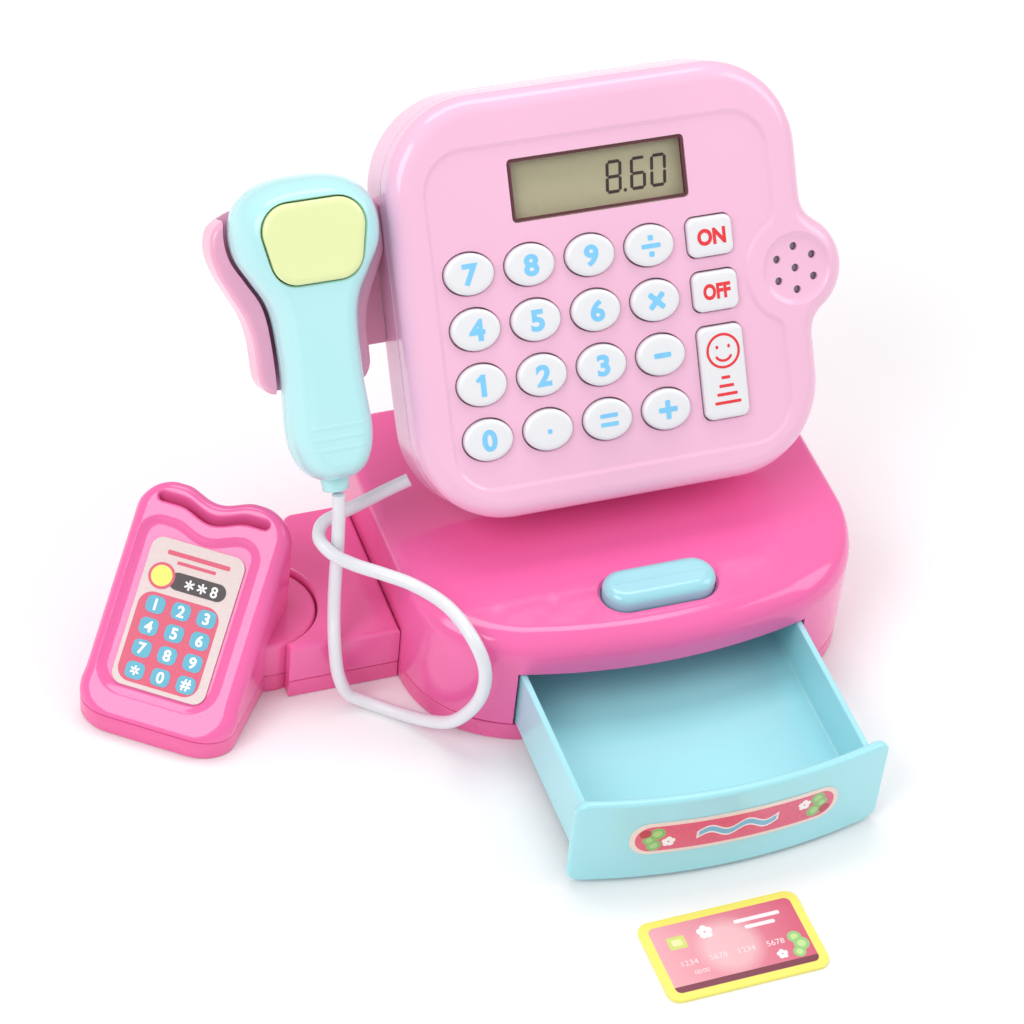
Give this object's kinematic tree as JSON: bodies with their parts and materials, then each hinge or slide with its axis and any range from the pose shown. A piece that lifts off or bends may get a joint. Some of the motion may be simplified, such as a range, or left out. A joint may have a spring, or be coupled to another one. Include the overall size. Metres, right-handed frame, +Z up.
{
  "type": "toy cash register",
  "caption": "Toy cash register with a tilted calculator head, a pull-out drawer with a release button, a hand scanner on a cord, a swivelling card reader and a payment card.",
  "frame": {"origin": "on the ground under the middle of the base's footprint", "axes": "+X to the player's right along the base, +Y from the drawer's front to the back, +Z up"},
  "size_m": [0.2624, 0.247, 0.1708],
  "materials": {
    "hot_pink_plastic": "gloss moulded",
    "pale_pink_plastic": "gloss moulded",
    "mint_plastic": "gloss moulded",
    "lime_plastic": "gloss moulded",
    "white_plastic": "satin moulded",
    "printed_label": "printed film",
    "printed_card": "printed and laminated",
    "clear_window": "clear tinted plastic",
    "red_window": "deep red plastic",
    "display": "liquid crystal glass",
    "circuit_board": "solder mask",
    "silicone": "matt",
    "steel": "plated",
    "speaker_metal": "pressed",
    "battery_jacket": "printed sleeve",
    "cord_jacket": "soft vinyl"
  },
  "bodies": {
    "register": {"base_cover": "hot_pink_plastic", "base_plate": "hot_pink_plastic", "base_screw_1": "steel", "base_screw_2": "steel", "base_screw_3": "steel", "base_screw_4": "steel", "drawer_spring": "steel", "latch_spring": "steel", "neck": "hot_pink_plastic", "head_front": "pale_pink_plastic", "head_back": "pale_pink_plastic", "head_screw_1": "steel", "head_screw_2": "steel", "display_window": "clear_window", "lcd_panel": "display", "key_mat": "silicone", "circuit_board": "circuit_board", "speaker": "speaker_metal", "battery_1": "battery_jacket", "battery_2": "battery_jacket", "cradle": "pale_pink_plastic", "scanner_cord": "cord_jacket", "arm_cover": "hot_pink_plastic", "arm_plate": "hot_pink_plastic"},
    "drawer": {"drawer": "mint_plastic", "drawer_label": "printed_label"},
    "release_button": {"release_button": "mint_plastic"},
    "latch_lever": {"latch_lever": "white_plastic"},
    "battery_door": {"battery_door": "pale_pink_plastic"},
    "scanner": {"scanner_front": "mint_plastic", "scanner_back": "mint_plastic", "scanner_lens": "red_window", "scanner_board": "circuit_board"},
    "scanner_trigger": {"scanner_trigger": "lime_plastic"},
    "card_reader": {"reader_cover": "hot_pink_plastic", "reader_plate": "hot_pink_plastic", "reader_label": "printed_label"},
    "payment_card": {"payment_card": "printed_card"},
    "key_7": {"key_7": "white_plastic"},
    "key_8": {"key_8": "white_plastic"},
    "key_9": {"key_9": "white_plastic"},
    "key_divide": {"key_divide": "white_plastic"},
    "key_4": {"key_4": "white_plastic"},
    "key_5": {"key_5": "white_plastic"},
    "key_6": {"key_6": "white_plastic"},
    "key_times": {"key_times": "white_plastic"},
    "key_1": {"key_1": "white_plastic"},
    "key_2": {"key_2": "white_plastic"},
    "key_3": {"key_3": "white_plastic"},
    "key_minus": {"key_minus": "white_plastic"},
    "key_0": {"key_0": "white_plastic"},
    "key_point": {"key_point": "white_plastic"},
    "key_equals": {"key_equals": "white_plastic"},
    "key_plus": {"key_plus": "white_plastic"},
    "key_on": {"key_on": "white_plastic"},
    "key_off": {"key_off": "white_plastic"},
    "key_smile": {"key_smile": "white_plastic"}
  },
  "joints": [
    {"name": "drawer_slide", "type": "slide", "parent": "register", "child": "drawer", "axis": [0, 1, 0], "range_m": [0, 0.058], "stiffness_N_per_m": 6, "springref_m": -0.02, "deforming": ["drawer_spring"]},
    {"name": "release_press", "type": "slide", "parent": "register", "child": "release_button", "axis": [0, 0, -1], "range_m": [0, 0.0025], "stiffness_N_per_m": 300, "springref_m": -0.001},
    {"name": "latch_rock", "type": "hinge", "parent": "register", "child": "latch_lever", "pos_m": [0, 0, 0.0327], "axis": [1, 0, 0], "range_deg": [0, 3.5], "deforming": ["latch_spring"]},
    {"name": "battery_door_lift", "type": "slide", "parent": "register", "child": "battery_door", "axis": [0, 0.832, -0.5548], "range_m": [0, 0.03]},
    {"name": "scanner_lift", "type": "slide", "parent": "register", "child": "scanner", "axis": [0, -0.832, 0.5548], "range_m": [0, 0.06]},
    {"name": "scanner_trigger_press", "type": "slide", "parent": "scanner", "child": "scanner_trigger", "axis": [0, 0.832, -0.5548], "range_m": [0, 0.0015], "stiffness_N_per_m": 300, "springref_m": -0.0005},
    {"name": "reader_swivel", "type": "hinge", "parent": "register", "child": "card_reader", "pos_m": [-0.116, 0.003, 0.01], "axis": [0, 0, 1], "range_deg": [-25, 6]},
    {"name": "card_lift", "type": "slide", "parent": "register", "child": "payment_card", "axis": [0, 0, 1], "range_m": [0, 0.08]},
    {"name": "key_7_press", "type": "slide", "parent": "register", "child": "key_7", "axis": [0, 0.832, -0.5548], "range_m": [0, 0.0012], "stiffness_N_per_m": 300, "springref_m": -0.0004},
    {"name": "key_8_press", "type": "slide", "parent": "register", "child": "key_8", "axis": [0, 0.832, -0.5548], "range_m": [0, 0.0012], "stiffness_N_per_m": 300, "springref_m": -0.0004},
    {"name": "key_9_press", "type": "slide", "parent": "register", "child": "key_9", "axis": [0, 0.832, -0.5548], "range_m": [0, 0.0012], "stiffness_N_per_m": 300, "springref_m": -0.0004},
    {"name": "key_divide_press", "type": "slide", "parent": "register", "child": "key_divide", "axis": [0, 0.832, -0.5548], "range_m": [0, 0.0012], "stiffness_N_per_m": 300, "springref_m": -0.0004},
    {"name": "key_4_press", "type": "slide", "parent": "register", "child": "key_4", "axis": [0, 0.832, -0.5548], "range_m": [0, 0.0012], "stiffness_N_per_m": 300, "springref_m": -0.0004},
    {"name": "key_5_press", "type": "slide", "parent": "register", "child": "key_5", "axis": [0, 0.832, -0.5548], "range_m": [0, 0.0012], "stiffness_N_per_m": 300, "springref_m": -0.0004},
    {"name": "key_6_press", "type": "slide", "parent": "register", "child": "key_6", "axis": [0, 0.832, -0.5548], "range_m": [0, 0.0012], "stiffness_N_per_m": 300, "springref_m": -0.0004},
    {"name": "key_times_press", "type": "slide", "parent": "register", "child": "key_times", "axis": [0, 0.832, -0.5548], "range_m": [0, 0.0012], "stiffness_N_per_m": 300, "springref_m": -0.0004},
    {"name": "key_1_press", "type": "slide", "parent": "register", "child": "key_1", "axis": [0, 0.832, -0.5548], "range_m": [0, 0.0012], "stiffness_N_per_m": 300, "springref_m": -0.0004},
    {"name": "key_2_press", "type": "slide", "parent": "register", "child": "key_2", "axis": [0, 0.832, -0.5548], "range_m": [0, 0.0012], "stiffness_N_per_m": 300, "springref_m": -0.0004},
    {"name": "key_3_press", "type": "slide", "parent": "register", "child": "key_3", "axis": [0, 0.832, -0.5548], "range_m": [0, 0.0012], "stiffness_N_per_m": 300, "springref_m": -0.0004},
    {"name": "key_minus_press", "type": "slide", "parent": "register", "child": "key_minus", "axis": [0, 0.832, -0.5548], "range_m": [0, 0.0012], "stiffness_N_per_m": 300, "springref_m": -0.0004},
    {"name": "key_0_press", "type": "slide", "parent": "register", "child": "key_0", "axis": [0, 0.832, -0.5548], "range_m": [0, 0.0012], "stiffness_N_per_m": 300, "springref_m": -0.0004},
    {"name": "key_point_press", "type": "slide", "parent": "register", "child": "key_point", "axis": [0, 0.832, -0.5548], "range_m": [0, 0.0012], "stiffness_N_per_m": 300, "springref_m": -0.0004},
    {"name": "key_equals_press", "type": "slide", "parent": "register", "child": "key_equals", "axis": [0, 0.832, -0.5548], "range_m": [0, 0.0012], "stiffness_N_per_m": 300, "springref_m": -0.0004},
    {"name": "key_plus_press", "type": "slide", "parent": "register", "child": "key_plus", "axis": [0, 0.832, -0.5548], "range_m": [0, 0.0012], "stiffness_N_per_m": 300, "springref_m": -0.0004},
    {"name": "key_on_press", "type": "slide", "parent": "register", "child": "key_on", "axis": [0, 0.832, -0.5548], "range_m": [0, 0.0012], "stiffness_N_per_m": 300, "springref_m": -0.0004},
    {"name": "key_off_press", "type": "slide", "parent": "register", "child": "key_off", "axis": [0, 0.832, -0.5548], "range_m": [0, 0.0012], "stiffness_N_per_m": 300, "springref_m": -0.0004},
    {"name": "key_smile_press", "type": "slide", "parent": "register", "child": "key_smile", "axis": [0, 0.832, -0.5548], "range_m": [0, 0.0012], "stiffness_N_per_m": 300, "springref_m": -0.0004}
  ],
  "couplings": [
    {"joint": "latch_rock", "follows": "release_press", "rad_per_m": 24.39}
  ]
}
